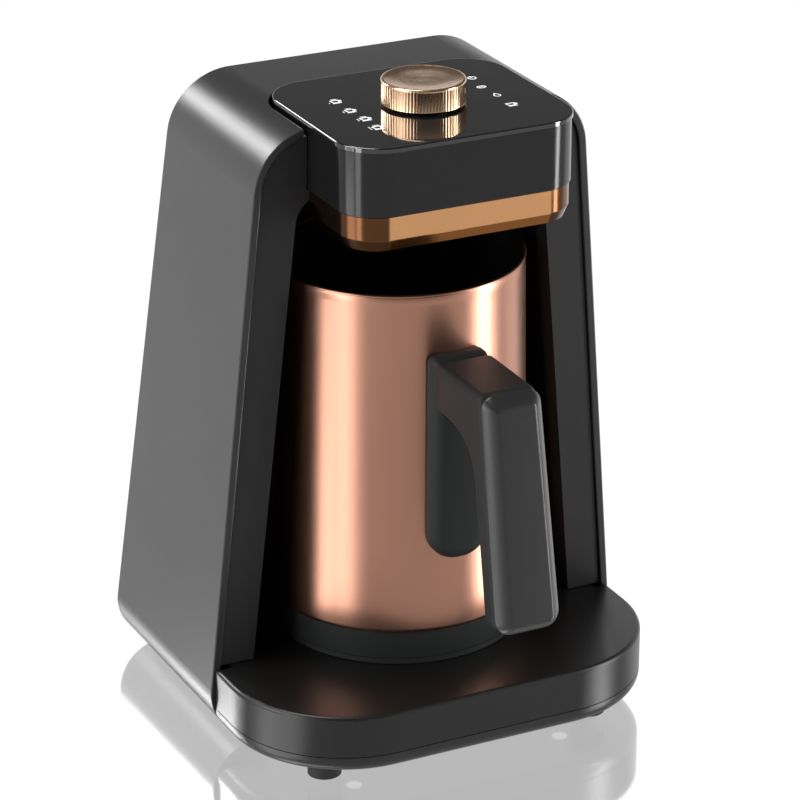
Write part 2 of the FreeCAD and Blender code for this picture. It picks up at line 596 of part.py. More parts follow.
head_studs = [rod(f"head_stud_{i}", "pillar_radius", f"{BOARD_LOW} - {PILLAR_LOW}",
                  (f"{x} * (board_half - pillar_inset)",
                   "board_front + pillar_front" if y < 0 else f"{HEAD_BACK_AT} - pillar_back", PILLAR_LOW))
              for i, (x, y) in enumerate(((-1, -1), (1, -1), (-1, 1), (1, 1)))]
keep("board_pillars", group("pillar_group", *head_studs))

# Rotary encoder with a push action, and its knob

encoder_box = block("encoder_box", ("-encoder_side / 2", "knob_y - encoder_side / 2", "board_top"),
                    ("encoder_side", "encoder_side", "encoder_tall"))
encoder_bush = rod("encoder_bush", "bush_radius", "bush_top - board_top - encoder_tall",
                   ("0", "knob_y", "board_top + encoder_tall"))
encoder_cavity = rod("encoder_cavity", "cavity_radius", "cavity_tall",
                     ("0", "knob_y", "board_top + cavity_floor"))
encoder_bore = rod("encoder_bore", "shaft_radius + shaft_play", "2 * past",
                   ("0", "knob_y", "board_top + cavity_floor + cavity_step"))
keep("encoder_housing", cut("encoder_cut", fuse("encoder_blank", encoder_box, encoder_bush),
                            fuse("encoder_space", encoder_cavity, encoder_bore)))
nut_blank = doc.addObject("Part::Prism", "nut_blank")
nut_blank.Polygon = 6
bind(nut_blank, "Circumradius", "nut_across / 2 / cos(30)")
bind(nut_blank, "Height", "nut_tall")
place(nut_blank, ("0", "knob_y", "panel_top"))
nut_hole = rod("nut_hole", "bush_radius", "2 * past", ("0", "knob_y", "panel_top - past"))
keep("encoder_nut", cut("encoder_nut_cut", nut_blank, nut_hole))
keep("encoder_plunger", rod("plunger", "plunger_radius", "plunger_tall", ("0", "knob_y", "plunger_low")))
SHAFT_LOW = "(plunger_low + plunger_tall)"
KNOB_ROOF = "(knob_top - knob_crown)"
keep("encoder_shaft", rod("shaft", "shaft_radius", f"{KNOB_ROOF} - {SHAFT_LOW}", ("0", "knob_y", SHAFT_LOW)))
hub = rod("hub", "hub_radius", f"{KNOB_ROOF} - hub_low", ("0", "knob_y", "hub_low"))
hub_bore = rod("hub_bore", "shaft_radius", "2 * past", ("0", "knob_y", "hub_low - past"))
keep("knob_hub", cut("knob_hub_cut", hub, hub_bore))

knob = body("knob_shell")
turned(knob, [("0", KNOB_ROOF), ("knob_radius - knob_wall", KNOB_ROOF),
              ("knob_radius - knob_wall", "knob_low"),
              ("knob_radius", "knob_low"), ("knob_radius", "knob_top"), ("0", "knob_top")])
soften(knob, "knob_edge", at_height(V["knob_top"]), "Chamfer")
place(knob, ("0", "knob_y", "0"))
keep("knob", knob)

# Jug: a drawn cup with a spout to each side, on a collar that holds the heater


def jug_form(name, less):
    """The tapered cup as a solid, made smaller by less."""
    owner = body(name)
    turned(owner, [("0", f"jug_low + ({less})"), (f"jug_low_radius - ({less})", f"jug_low + ({less})"),
                   (f"jug_rim_radius - ({less})", "jug_rim"), ("0", "jug_rim")])
    soften(owner, f"jug_foot_round - ({less}) / 2", at_height(V["jug_low"], 2 * V["jug_wall"]))
    return place(owner, ("0", "jug_y", "0"))


def spout_form(name, side, less):
    """A cone that leans out of the wall and opens towards the rim."""
    cone = doc.addObject("Part::Cone", name)
    bind(cone, "Radius1", "spout_tip")
    bind(cone, "Radius2", f"spout_radius - ({less})")
    bind(cone, "Height", "(jug_rim - spout_low) / cos(spout_tilt) + spout_over")
    lean = side * V["spout_tilt"]
    cone.Placement = FreeCAD.Placement(FreeCAD.Vector(), FreeCAD.Rotation(FreeCAD.Vector(0, 1, 0), lean))
    place(cone, (f"{side} * (spout_reach - ({less}))", "jug_y", "spout_low"))
    bind(cone, ".Placement.Rotation.Angle", "spout_tilt")
    if side < 0:
        cone.Placement.Rotation.Axis = FreeCAD.Vector(0, -1, 0)
    return cone


jug_clip = block("jug_clip", ("-far / 2", "-far / 2", "0"), ("far", "far", "jug_rim"))
jug_out = common("jug_out", jug_clip, fuse("jug_out_all", jug_form("jug_skin", "0"),
                                           spout_form("spout_left_skin", -1, "0"),
                                           spout_form("spout_right_skin", 1, "0")))
jug_in_form = jug_form("jug_hollow", "jug_wall")
jug_in = fuse("jug_in", jug_in_form, spout_form("spout_left_hollow", -1, "jug_wall"),
              spout_form("spout_right_hollow", 1, "jug_wall"))
keep("jug_body", cut("jug_cut", jug_out, jug_in))

COLLAR_LOW = "(tray_top + fit_gap)"
collar = body("collar")
turned(collar, [("collar_radius - collar_wall", COLLAR_LOW + " + collar_foot"),
                ("collar_radius", COLLAR_LOW + " + collar_foot"),
                ("collar_radius", "jug_low"), ("collar_radius - collar_wall", "jug_low")])
place(collar, ("0", "jug_y", "0"))
SOCKET_BACK = "(jug_y + collar_radius - socket_inset)"
SOCKET_LOW = "(" + COLLAR_LOW + " + collar_foot)"
socket_gap = block("socket_gap", ("-socket_half", f"{SOCKET_BACK} - socket_depth", SOCKET_LOW),
                   ("2 * socket_half", "2 * past", "socket_tall"))
keep("jug_collar", cut("jug_collar_cut", collar, socket_gap))
keep("jug_base_cover", rod("base_disc", "collar_radius", "collar_foot", ("0", "jug_y", COLLAR_LOW)))
socket_block = block("socket_block", ("-socket_half", f"{SOCKET_BACK} - socket_depth", SOCKET_LOW),
                     ("2 * socket_half", "socket_depth", "socket_tall"))
PIN_Z = f"({SOCKET_LOW} + socket_tall / 2)"
pin_ways = [rod_y(f"pin_way_{i}", "pin_radius + fit_gap", "2 * past",
                  (f"{side} * pin_x", f"{SOCKET_BACK} - pin_reach - fit_gap", PIN_Z))
            for i, side in enumerate((-1, 1))]
keep("jug_socket", cut("jug_socket_cut", socket_block, fuse("pin_ways", *pin_ways)))
keep("heater_plate", rod("heater_disc", "plate_radius", "plate_thick",
                         ("0", "jug_y", "jug_low - plate_thick")))

# Heating element: a round wire bent into most of a ring under the plate
ring = doc.addObject("Part::Torus", "coil_ring")
bind(ring, "Radius1", "coil_radius")
bind(ring, "Radius2", "coil_wire")
bind(ring, "Angle3", "coil_angle")
place(ring, ("0", "jug_y", "jug_low - plate_thick - coil_wire"), (0, 0, 1), V["coil_start_angle"])
bind(ring, ".Placement.Rotation.Angle", "coil_start_angle")
keep("heating_element", ring)
keep("thermostat", rod("stat", "stat_radius", "stat_tall",
                       ("0", "jug_y", "jug_low - plate_thick - stat_tall")))

# Handle: a mount on the jug wall, the bridge and grip, and a front cover

mount_block = body("mount_block")
feature(mount_block, "Pad", outline(mount_block, "XZ_Plane",
                                    [("-mount_half", "mount_low"), ("mount_half", "mount_low"),
                                     ("mount_half", "mount_high"), ("-mount_half", "mount_high")],
                                    "-(mount_front)"), "mount_deep", reverse=True)
soften(mount_block, "mount_round", lambda e: along_y(e) and middle(e).z < V["bridge_low"])
keep("handle_bracket", cut("bracket_cut", mount_block, jug_form("jug_skin_for_mount", "-mount_play")))

GRIP_LEAN = "((grip_front_low - grip_front_high) / (grip_high - grip_low))"


def grip_y(depth, z):
    return f"(grip_front_high + {depth} + {GRIP_LEAN} * (grip_high - ({z})))"


cover_side = prism_x("cover_side", [(grip_y("0", "grip_low"), "grip_low"),
                                    (grip_y("0", "grip_high"), "grip_high"),
                                    (grip_y("cover_depth", "grip_high"), "grip_high"),
                                    (grip_y("cover_depth", "grip_low"), "grip_low")], "3 * past")
GRIP_SLOPE = "((grip_low_half - grip_top_half) / (grip_high - grip_low))"


def grip_front(name, less):
    wide = f"(grip_low_half - ({less}))"
    slim = f"(grip_top_half - ({less}))"
    corners = [("-" + wide, "grip_low"), (wide, "grip_low"), (slim, "grip_high"), ("-" + slim, "grip_high")]
    return prism_y(name, corners, "grip_front_low - past", "grip_depth + 4 * past")


cover_front_view = grip_front("cover_front_view", "0")
soften(cover_front_view, "grip_round", along_y)
keep("handle_cover", common("handle_cover_shape", cover_side, cover_front_view))

handle_side = prism_x("handle_side", [
    (grip_y("cover_depth", "grip_low"), "grip_low"), (grip_y("cover_depth", "grip_high"), "grip_high"),
    ("mount_front", "mount_high"), ("mount_front", "bridge_low"), ("bridge_front", "bridge_low"),
    (grip_y("grip_depth", "grip_low"), "grip_low")], "3 * past")
soften(handle_side, "grip_bend", lambda e: runs_along(0)(e) and abs(middle(e).z - V["bridge_low"]) < NEAR
       and middle(e).y < V["mount_front"] - V["mount_stand"])
handle_front_view = grip_front("handle_front_view", "cover_lip")
soften(handle_front_view, "grip_round", along_y)
keep("handle_body", common("handle_body_shape", handle_side, handle_front_view))

# Plug for the jug on the back wall of the niche

plug_core = block("plug_core",
                  ("-plug_half + fit_gap", f"{SOCKET_BACK} + socket_inset + fit_gap", "tray_top"),
                  ("2 * plug_half - 2 * fit_gap", "plug_deep", f"{SOCKET_LOW} - tray_top + socket_tall"))
pins = [rod_y(f"pin_{i}", "pin_radius", "pin_reach + plug_deep",
              (f"{side} * pin_x", f"{SOCKET_BACK} - pin_reach", PIN_Z)) for i, side in enumerate((-1, 1))]
keep("contact_pins", group("contact_pin_group", *pins))
pin_bores = [rod_y(f"pin_bore_{i}", "pin_radius", "2 * past", (f"{side} * pin_x", SOCKET_BACK, PIN_Z))
             for i, side in enumerate((-1, 1))]
keep("jug_plug", cut("jug_plug_cut", plug_core, fuse("pin_bores", *pin_bores)))

# Power electronics between the liner and the rear cover

POWER_BACK = "(power_front + power_thick)"
PART_LOW = "(power_low + part_rise)"
keep("power_board", block("power_sheet", ("-power_half", "power_front", "power_low"),
                          ("2 * power_half", "power_thick", "power_high - power_low")))
keep("transformer", block("coil_pack", ("-power_half + part_inset", POWER_BACK, PART_LOW),
                          ("coil_pack_w", "coil_pack_d", "coil_pack_h")))
keep("heater_relay", block("relay_can", ("relay_x", POWER_BACK, PART_LOW), ("relay_w", "relay_d", "relay_h")))
keep("capacitor", rod("cap_can", "can_radius", "can_long",
                      ("can_x", POWER_BACK + " + can_radius", PART_LOW)))
keep("terminal_block", block("terminal",
                             ("terminal_x - terminal_w / 2", "tongue_back - terminal_inset", "tray_top"),
                             ("terminal_w", "terminal_d", "terminal_h")))

doc.recompute()

problems = []
for thing in doc.Objects:
    if "Invalid" in thing.State or "Error" in thing.State:
        problems.append(f"{thing.Name}: {thing.State}")
for label, thing in parts.items():
    if thing.Shape.isNull() or not thing.Shape.isValid() or not thing.Shape.Solids:
        problems.append(f"{label}: no valid solid")
if problems:
    raise RuntimeError("; ".join(problems))

os.makedirs("parts", exist_ok=True)
for label, thing in parts.items():
    thing.Shape.exportStep(f"parts/{label}.step")
    box = thing.Shape.BoundBox
    print(f"{label}: {len(thing.Shape.Solids)} solids, x {box.XMin:.1f}..{box.XMax:.1f}, "
          f"y {box.YMin:.1f}..{box.YMax:.1f}, z {box.ZMin:.1f}..{box.ZMax:.1f}")
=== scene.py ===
import math

import bmesh
import bpy
from mathutils import Matrix, Vector


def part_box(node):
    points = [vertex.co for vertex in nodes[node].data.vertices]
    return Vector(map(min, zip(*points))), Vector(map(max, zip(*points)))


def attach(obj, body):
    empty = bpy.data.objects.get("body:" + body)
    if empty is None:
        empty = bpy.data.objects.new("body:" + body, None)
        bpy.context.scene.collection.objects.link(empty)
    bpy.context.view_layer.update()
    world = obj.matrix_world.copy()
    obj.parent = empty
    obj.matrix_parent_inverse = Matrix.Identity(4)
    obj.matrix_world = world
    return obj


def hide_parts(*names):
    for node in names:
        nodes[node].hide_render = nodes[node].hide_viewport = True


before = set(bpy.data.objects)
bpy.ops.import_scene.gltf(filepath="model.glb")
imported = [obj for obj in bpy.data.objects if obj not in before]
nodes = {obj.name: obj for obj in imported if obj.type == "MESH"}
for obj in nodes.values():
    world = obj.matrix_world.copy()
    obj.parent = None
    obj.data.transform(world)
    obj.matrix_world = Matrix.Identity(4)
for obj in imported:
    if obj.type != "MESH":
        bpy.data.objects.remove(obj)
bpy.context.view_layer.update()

MM = 0.001


# Shader maths

# Sockets of the node that mixes two colours
MIX_SHARE, MIX_FIRST, MIX_SECOND, MIX_RESULT = 0, 6, 7, 2

# Pointiness where an edge starts to look worn, and where it is worn fully
WEAR_STARTS, WEAR_FULL = 0.50, 0.56


class Wire:
    """A socket that can be added and scaled like a number."""

    def __init__(self, paint, socket):
        self.paint = paint
        self.socket = socket

    def math(self, operation, *others):
        values = {0: self, **dict(enumerate(others, 1))}
        return self.paint.node("ShaderNodeMath", {"operation": operation}, values)

    def __add__(self, other):
        return self.math("ADD", other)

    def __radd__(self, other):
        return self.math("ADD", other)

    def __sub__(self, other):
        return self.math("SUBTRACT", other)

    def __rsub__(self, other):
        return self.paint.node("ShaderNodeMath", {"operation": "SUBTRACT"}, {0: other, 1: self})

    def __mul__(self, other):
        return self.math("MULTIPLY", other)

    def __rmul__(self, other):
        return self.math("MULTIPLY", other)

    def __truediv__(self, other):
        return self.math("DIVIDE", other)

    def __rtruediv__(self, other):
        return self.paint.node("ShaderNodeMath", {"operation": "DIVIDE"}, {0: other, 1: self})

    def clamped(self):
        return self.math("MAXIMUM", 0.0).math("MINIMUM", 1.0)


class Paint:
    """One material and its nodes."""

    def __init__(self, name, colour, rough, metal=0.0, **constants):
        self.material = bpy.data.materials.new(name)
        self.material.use_nodes = True
        self.tree = self.material.node_tree
        self.shader = self.tree.nodes["Principled BSDF"]
        self.shader.inputs["Base Color"].default_value = (*colour, 1.0)
        self.shader.inputs["Roughness"].default_value = rough
        self.shader.inputs["Metallic"].default_value = metal
        for word, value in constants.items():
            socket = word.replace("_", " ").title().replace("Ior", "IOR")
            self.shader.inputs[socket].default_value = value

    def node(self, kind, settings=None, values=None, output=0):
        made = self.tree.nodes.new(kind)
        for key, value in (settings or {}).items():
            if key == "stops":
                ramp = made.color_ramp.elements
                for i, (spot, tone) in enumerate(value):
                    stop = ramp[i] if i < len(ramp) else ramp.new(spot)
                    stop.position = spot
                    stop.color = (tone, tone, tone, 1.0)
            else:
                setattr(made, key, value)
        for key, value in (values or {}).items():
            if isinstance(value, Wire):
                self.tree.links.new(value.socket, made.inputs[key])
            else:
                made.inputs[key].default_value = value
        return Wire(self, made.outputs[output])

    def place(self):
        return self.node("ShaderNodeTexCoord", output="Object")

    def axis(self, letter):
        return self.node("ShaderNodeSeparateXYZ", None, {"Vector": self.place()}, letter)

    def noise(self, scale, detail=3.0, stretch=(1.0, 1.0, 1.0), rough=0.55):
        spread = self.node("ShaderNodeMapping", None, {"Vector": self.place(), "Scale": stretch})
        values = {"Vector": spread, "Scale": scale, "Detail": detail, "Roughness": rough}
        return self.node("ShaderNodeTexNoise", None, values, "Fac")

    def mix(self, share, first, second):
        """Blend two colours; each may be a wire."""
        made = self.tree.nodes.new("ShaderNodeMix")
        made.data_type = "RGBA"
        for slot, value in ((MIX_SHARE, share), (MIX_FIRST, first), (MIX_SECOND, second)):
            if isinstance(value, Wire):
                self.tree.links.new(value.socket, made.inputs[slot])
            elif slot == MIX_SHARE:
                made.inputs[slot].default_value = value
            else:
                made.inputs[slot].default_value = (*value, 1.0)
        return Wire(self, made.outputs[MIX_RESULT])

    def fed(self, socket):
        """What already feeds one of the shader's sockets."""
        return Wire(self, self.shader.inputs[socket].links[0].from_socket)

    def feed(self, socket, wire):
        self.tree.links.new(wire.socket, self.shader.inputs[socket])

    def bump(self, height, strength, depth):
        values = {"Strength": strength, "Distance": depth, "Height": height}
        return self.node("ShaderNodeBump", None, values, "Normal")

    def edge_wear(self):
        """Nought on flats, one on convex edges."""
        pointed = self.node("ShaderNodeNewGeometry", output="Pointiness")
        stops = [(WEAR_STARTS, 0.0), (WEAR_FULL, 1.0)]
        return self.node("ShaderNodeValToRGB", {"stops": stops}, {"Fac": pointed})


def scaled(colour, by):
    return tuple(min(1.0, part * by) for part in colour)


def moulded(name, colour, rough, grain=900.0, grain_depth=0.03 * MM, **constants):
    """Moulded plastic: eroded grain, cloudy gloss and paler, smoother worn edges."""
    cloud_scale, cloud_detail, grain_detail = 18.0, 4.0, 2.0
    darkest, palest, worn = 0.88, 1.15, 2.2
    cloud_share, worn_share = 0.5, 0.25
    cloud_rough, grain_rough, worn_smooth = 0.10, 0.08, 0.06
    grain_strength = 0.35
    paint = Paint(name, colour, rough, **constants)
    clouds = paint.noise(cloud_scale, cloud_detail)
    fine = paint.noise(grain, grain_detail)
    wear = paint.edge_wear()
    tone = paint.mix(clouds * cloud_share, scaled(colour, darkest), scaled(colour, palest))
    tone = paint.mix(wear * worn_share, tone, scaled(colour, worn))
    paint.feed("Base Color", tone)
    least = rough - (cloud_rough + grain_rough) / 2
    spread = clouds * cloud_rough + fine * grain_rough - wear * worn_smooth
    paint.feed("Roughness", (spread + least).clamped())
    paint.feed("Normal", paint.bump(fine, grain_strength, grain_depth))
    return paint


def plated(name, colour, rough, stretch, streaks=0.10):
    """Satin plated or spun metal with fine streaks along one direction."""
    line_scale, line_detail, line_rough = 60.0, 6.0, 0.7
    cloud_scale, cloud_detail, cloud_rough = 12.0, 3.0, 0.05
    darkest, palest = 0.93, 1.05
    line_strength, line_depth = 0.25, 0.02 * MM
    paint = Paint(name, colour, rough, 1.0)
    lines = paint.noise(line_scale, line_detail, stretch, line_rough)
    clouds = paint.noise(cloud_scale, cloud_detail)
    paint.feed("Base Color", paint.mix(clouds, scaled(colour, darkest), scaled(colour, palest)))
    least = rough - (streaks + cloud_rough) / 2
    paint.feed("Roughness", (lines * streaks + clouds * cloud_rough + least).clamped())
    paint.feed("Normal", paint.bump(lines, line_strength, line_depth))
    return paint


# Finishes of this machine

SMOOTH_GRAIN = 1600.0
HANDLE_GRAIN = 1300.0
WHITE_GLOW = {"emission_color": (1.0, 1.0, 1.0, 1.0), "emission_strength": 0.25}

shell_finish = moulded("shell_charcoal", (0.021, 0.021, 0.0215), 0.36)
rear_finish = moulded("rear_cover_charcoal", (0.009, 0.009, 0.0095), 0.42)
tray_finish = moulded("tray_black", (0.007, 0.0065, 0.0062), 0.36)
base_finish = moulded("base_black", (0.013, 0.013, 0.0134), 0.34)
head_finish = moulded("head_black", (0.006, 0.006, 0.0063), 0.18, SMOOTH_GRAIN, 0.006 * MM)
head_floor_finish = moulded("head_floor_black", (0.010, 0.010, 0.010), 0.40)
handle_finish = moulded("handle_black", (0.019, 0.020, 0.0205), 0.55, HANDLE_GRAIN, specular_ior_level=0.16)
cover_finish = moulded("grip_cover_black", (0.020, 0.020, 0.0205), 0.36, HANDLE_GRAIN)
rubber_finish = moulded("foot_rubber", (0.018, 0.018, 0.018), 0.75)
inner_finish = moulded("inner_black", (0.02, 0.02, 0.02), 0.5)
lining_finish = moulded("jug_lining", (0.007, 0.007, 0.007), 0.42)
sign_finish = moulded("sign_white", (0.92, 0.92, 0.92), 0.5, **WHITE_GLOW)
board_finish = moulded("board_green", (0.02, 0.10, 0.045), 0.3)
lamp_finish = moulded("lamp_clear", (0.8, 0.8, 0.76), 0.2)
lacquer_finish = moulded("winding_lacquer", (0.30, 0.20, 0.04), 0.4)
relay_finish = moulded("relay_blue", (0.02, 0.06, 0.20), 0.3)
terminal_finish = moulded("terminal_green", (0.04, 0.20, 0.10), 0.4)
lens_finish = moulded("sensor_lens", (0.03, 0.006, 0.006), 0.12, SMOOTH_GRAIN, 0.004 * MM)

# Directions in which the streaks of each metal are drawn out
ALONG_STRIP = (1.0, 14.0, 14.0)
ALL_WAYS = (8.0, 8.0, 8.0)
UP_THE_JUG = (40.0, 40.0, 0.6)

# Half width of the plain copper; past it the corners take a painted dark reflection, fading in over the next
# width
TRIM_STRAIGHT = 31.0 * MM
TRIM_TURNS_WITHIN = 1.0 * MM


def trim_paint(name, colour, painted_corner_dark):
    """Bright copper on the straight facet; round the corners the colour is darkened as a painted dark
    reflection.
    """
    paint = plated(name, colour, 0.18, ALONG_STRIP, 0.08)
    painted_corner_share = ((paint.axis("X").math("ABSOLUTE") - TRIM_STRAIGHT) / TRIM_TURNS_WITHIN).clamped()
    paint.feed("Base Color", paint.mix(painted_corner_share, paint.fed("Base Color"), painted_corner_dark))
    return paint


# Each trim colour comes with a second, darker one for the corners: painted dark reflection
trim_finish = trim_paint("trim_copper", (0.98, 0.50, 0.23), (0.15, 0.065, 0.03))
# Darker copy of the same copper for the lower slanted facet: painted shade
trim_shaded_finish = trim_paint("trim_copper_painted_shade", (0.34, 0.13, 0.035), (0.08, 0.034, 0.014))
steel_finish = plated("bright_steel", (0.62, 0.61, 0.60), 0.28, ALL_WAYS)
pin_finish = plated("pin_brass", (0.80, 0.62, 0.34), 0.25, ALL_WAYS)
jug_finish = plated("jug_copper", (0.56, 0.285, 0.20), 0.30, UP_THE_JUG, 0.06)

BEZEL_LEAN = 0.033
NICHE_STARTS = 7.4 * MM
NICHE_DARK_WITHIN = 1.5 * MM
NICHE_BLACK = (0.004, 0.004, 0.004)


def frame_paint():
    """The bezel is charcoal; behind its slant the niche turns black."""
    paint = moulded("frame_charcoal", (0.016, 0.016, 0.0165), 0.50, specular_ior_level=0.3)
    leaning_y = paint.axis("Y") + paint.axis("Z") * BEZEL_LEAN
    inside = ((leaning_y - NICHE_STARTS) / NICHE_DARK_WITHIN).clamped()
    paint.feed("Base Color", paint.mix(inside, paint.fed("Base Color"), NICHE_BLACK))
    return paint


frame_finish = frame_paint()


def panel_paint():
    """Black glass with faint smears of fingers."""
    glass = {"ior": 1.9, "coat_weight": 0.3, "coat_roughness": 0.03}
    clean_rough, smeared_rough = 0.02, 0.05
    paint = Paint("touch_panel_gloss", (0.006, 0.006, 0.007), 0.05, **glass)
    smears = paint.noise(30.0, 5.0)
    paint.feed("Roughness", smears * smeared_rough + clean_rough)
    paint.feed("Base Color", paint.mix(smears, (0.005, 0.005, 0.006), (0.009, 0.009, 0.010)))
    return paint


panel_finish = panel_paint()
knob_low, knob_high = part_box("knob")
KNOB_Y = (knob_low.y + knob_high.y) / 2
KNOB_RADIUS = (knob_high.x - knob_low.x) / 2


def knob_paint():
    """Spun pale copper with fine rings round the middle of its face."""
    rings_per_metre = 2600.0
    ring_rough, cloud_rough, least = 0.10, 0.05, 0.12
    ring_depth = 0.06 * MM
    paint = Paint("knob_spun", (0.83, 0.56, 0.37), 0.26, 1.0)
    across = paint.axis("X")
    along = paint.axis("Y") - KNOB_Y
    reach = (across * across + along * along).math("SQRT")
    values = {"W": reach * rings_per_metre, "Scale": 1.0, "Detail": 4.0, "Roughness": 0.7}
    rings = paint.node("ShaderNodeTexNoise", {"noise_dimensions": "1D"}, values, "Fac")
    clouds = paint.noise(40.0, 3.0)
    paint.feed("Base Color", paint.mix(rings, (0.74, 0.46, 0.28), (0.90, 0.62, 0.42)))
    paint.feed("Roughness", (rings * ring_rough + clouds * cloud_rough + least).clamped())
    paint.feed("Normal", paint.bump(rings, 1.0, ring_depth))
    return paint


knob_finish = knob_paint()

FINISH_OF = {
    "outer_shell": shell_finish, "rear_cover": rear_finish, "cord_gland": inner_finish,
    "front_frame": frame_finish, "base_tray": tray_finish, "base_bottom": base_finish,
    "front_left_foot": rubber_finish, "front_right_foot": rubber_finish,
    "rear_left_foot": rubber_finish, "rear_right_foot": rubber_finish,
    "base_screws": steel_finish, "rear_screws": steel_finish,
    "head_housing": head_finish, "trim_strip": trim_finish, "head_floor": head_floor_finish,
    "steam_sensor": lens_finish, "touch_panel": panel_finish, "control_board": board_finish,
    "touch_springs": steel_finish, "indicator_lamps": lamp_finish, "beeper": inner_finish,
    "board_pillars": inner_finish, "encoder_housing": steel_finish, "encoder_nut": steel_finish,
    "encoder_plunger": inner_finish, "encoder_shaft": steel_finish, "knob_hub": inner_finish,
    "knob": knob_finish,
    "contact_pins": pin_finish, "jug_plug": inner_finish, "power_board": board_finish,
    "transformer": lacquer_finish, "heater_relay": relay_finish, "capacitor": steel_finish,
    "terminal_block": terminal_finish,
    "jug_body": jug_finish, "jug_collar": handle_finish, "jug_base_cover": handle_finish,
    "jug_socket": inner_finish, "heater_plate": steel_finish, "heating_element": steel_finish,
    "thermostat": steel_finish, "handle_bracket": handle_finish, "handle_body": handle_finish,
    "handle_cover": cover_finish,
}

# Widths of the softened edges that the eye follows
SOFT_EDGE = {
    "outer_shell": 0.5 * MM, "front_frame": 0.4 * MM, "base_tray": 0.3 * MM, "base_bottom": 0.4 * MM,
    "head_housing": 0.3 * MM, "rear_cover": 0.3 * MM, "jug_collar": 0.4 * MM, "cord_gland": 0.4 * MM,
}
WELD_WITHIN = 0.01 * MM


def add_bevel(thing, width, segments, sharper_than):
    """A soft edge on every corner sharper than the angle given, with even shading."""
    bevel = thing.modifiers.new("soft edge", "BEVEL")
    bevel.width = width
    bevel.segments = segments
    bevel.limit_method = "ANGLE"
    bevel.angle_limit = math.radians(sharper_than)
    even = thing.modifiers.new("even normals", "WEIGHTED_NORMAL")
    even.keep_sharp = True


def soften_edges(thing, width):
    weld = thing.modifiers.new("weld", "WELD")
    weld.merge_threshold = WELD_WITHIN
    add_bevel(thing, width, 3, 28)


for name, thing in nodes.items():
    thing.data.materials.clear()
    thing.data.materials.append(FINISH_OF[name].material)
    if name in SOFT_EDGE:
        soften_edges(thing, SOFT_EDGE[name])


# Pieces drawn here in place of plainer CAD solids

def piece(name, bm, paints, body, smooth_angle=35.0):
    """Turn a bmesh into a piece that rides on a body; sharper edges than the angle stay sharp."""
    mesh = bpy.data.meshes.new(name)
    bmesh.ops.recalc_face_normals(bm, faces=bm.faces)
    for face in bm.faces:
        face.smooth = True
    for edge in bm.edges:
        edge.smooth = len(edge.link_faces) == 2 and edge.calc_face_angle(0.0) < math.radians(smooth_angle)
    bm.to_mesh(mesh)
    bm.free()
    made = bpy.data.objects.new(name, mesh)
    bpy.context.collection.objects.link(made)
    for paint in paints:
        mesh.materials.append(paint.material)
    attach(made, body)
    return made


def ring_of(bm, centre, count, reach):
    """A closed loop of points; reach gives each angle's radius and height."""
    loop = []
    for i in range(count):
        angle = 2 * math.pi * i / count
        radius, height = reach(angle)
        loop.append(bm.verts.new((centre.x + radius * math.cos(angle),
                                  centre.y + radius * math.sin(angle), height)))
    return loop


def skin_between(bm, low, high, slot=0):
    """A band of faces between two closed loops with the same number of points."""
    count = len(low)
    for i in range(count):
        j = (i + 1) % count
        bm.faces.new((low[i], low[j], high[j], high[i])).material_index = slot


def cap(bm, loop, slot=0):
    bm.faces.new(loop).material_index = slot


def knurled_knob():
    """A hollow spun cap whose side carries fine upright ridges."""
    ridges = 84
    steps = ridges * 4
    ridge_deep = 0.16 * MM
    ridge_foot, ridge_top = 0.7 * MM, 0.5 * MM
    skirt_drop = 0.3 * MM
    foot_bevel = 0.3 * MM
    wall, top_wall = 2.4 * MM, 2.2 * MM
    edge = 0.7 * MM
    edge_middle = edge * 0.3
    rim_flat, rim_slope = 0.5 * MM, 0.3 * MM
    dish = ((edge + rim_flat + rim_slope, 0.15 * MM), (KNOB_RADIUS * 0.5, 0.10 * MM),
            (KNOB_RADIUS * 0.97, 0.02 * MM))
    centre = Vector((0.0, KNOB_Y, 0.0))
    low, high = knob_low.z - skirt_drop, knob_high.z

    def toothed(short, height, share):
        def reach(angle):
            wave = 0.5 - 0.5 * math.cos(angle * ridges)
            return KNOB_RADIUS - short - ridge_deep * wave * share, height
        return reach

    bm = bmesh.new()
    profile = [
        toothed(wall, high - top_wall, 0.0), toothed(wall, low, 0.0), toothed(foot_bevel, low, 0.0),
        toothed(0.0, low + foot_bevel, 0.0), toothed(0.0, low + ridge_foot, 1.0),
        toothed(0.0, high - edge - ridge_top, 1.0), toothed(0.0, high - edge, 0.0),
        toothed(edge_middle, high - edge_middle, 0.0), toothed(edge, high, 0.0),
        toothed(edge + rim_flat, high, 0.0),
    ]
    profile += [toothed(short, high - deep, 0.0) for short, deep in dish]
    loops = [ring_of(bm, centre, steps, reach) for reach in profile]
    for lower, upper in zip(loops, loops[1:]):
        skin_between(bm, lower, upper)
    cap(bm, loops[-1])
    cap(bm, loops[0])
    made = piece("knob_cap", bm, [knob_finish], "knob_body", 50.0)
    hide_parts("knob")


knurled_knob()


